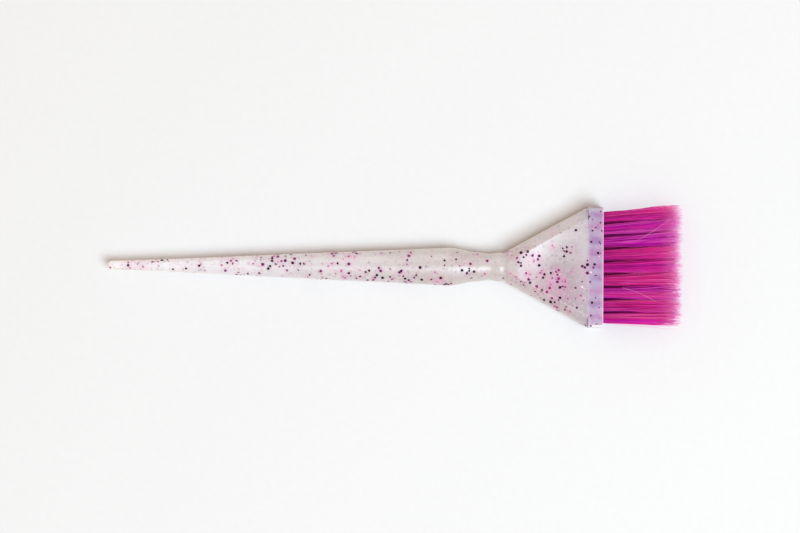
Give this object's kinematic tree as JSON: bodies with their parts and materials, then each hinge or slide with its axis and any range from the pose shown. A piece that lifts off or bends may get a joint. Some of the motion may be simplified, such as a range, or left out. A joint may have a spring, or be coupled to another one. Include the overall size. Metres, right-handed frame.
{
  "type": "hair tint brush",
  "caption": "Flat hair tint brush with a tapered pointed-tail handle of translucent glitter plastic, a triangular bevelled head and a wide double row of soft nylon bristle tufts.",
  "frame": {"origin": "centre of the bounding box in plan, on the surface that the brush lies on", "axes": "+X along the brush towards the bristle tips, +Y across the head, +Z out of the flat face of the head"},
  "size_m": [0.222, 0.0484, 0.011],
  "materials": {
    "handle_plastic": "translucent milky moulding with embedded pink and purple glitter, satin gloss",
    "bristle_nylon": "fine coloured nylon filament, soft sheen, paler towards the tips",
    "anchor_wire": "flat drawn wire"
  },
  "bodies": {
    "handle": {"handle": "handle_plastic", "upper_row_anchors": "anchor_wire", "lower_row_anchors": "anchor_wire"},
    "bristles": {"upper_tuft_1": "bristle_nylon", "upper_tuft_2": "bristle_nylon", "upper_tuft_3": "bristle_nylon", "upper_tuft_4": "bristle_nylon", "upper_tuft_5": "bristle_nylon", "upper_tuft_6": "bristle_nylon", "upper_tuft_7": "bristle_nylon", "upper_tuft_8": "bristle_nylon", "upper_tuft_9": "bristle_nylon", "lower_tuft_1": "bristle_nylon", "lower_tuft_2": "bristle_nylon", "lower_tuft_3": "bristle_nylon", "lower_tuft_4": "bristle_nylon", "lower_tuft_5": "bristle_nylon", "lower_tuft_6": "bristle_nylon", "lower_tuft_7": "bristle_nylon", "lower_tuft_8": "bristle_nylon"}
  },
  "joints": [
    {"name": "bristle_flex", "type": "hinge", "parent": "handle", "child": "bristles", "pos_m": [0.0844, 0, 0.0055], "axis": [0, 1, 0], "range_deg": [-40, 40], "stiffness_Nm_per_rad": 0.05, "deforming": ["upper_tuft_1", "upper_tuft_2", "upper_tuft_3", "upper_tuft_4", "upper_tuft_5", "upper_tuft_6", "upper_tuft_7", "upper_tuft_8", "upper_tuft_9", "lower_tuft_1", "lower_tuft_2", "lower_tuft_3", "lower_tuft_4", "lower_tuft_5", "lower_tuft_6", "lower_tuft_7", "lower_tuft_8"]}
  ]
}
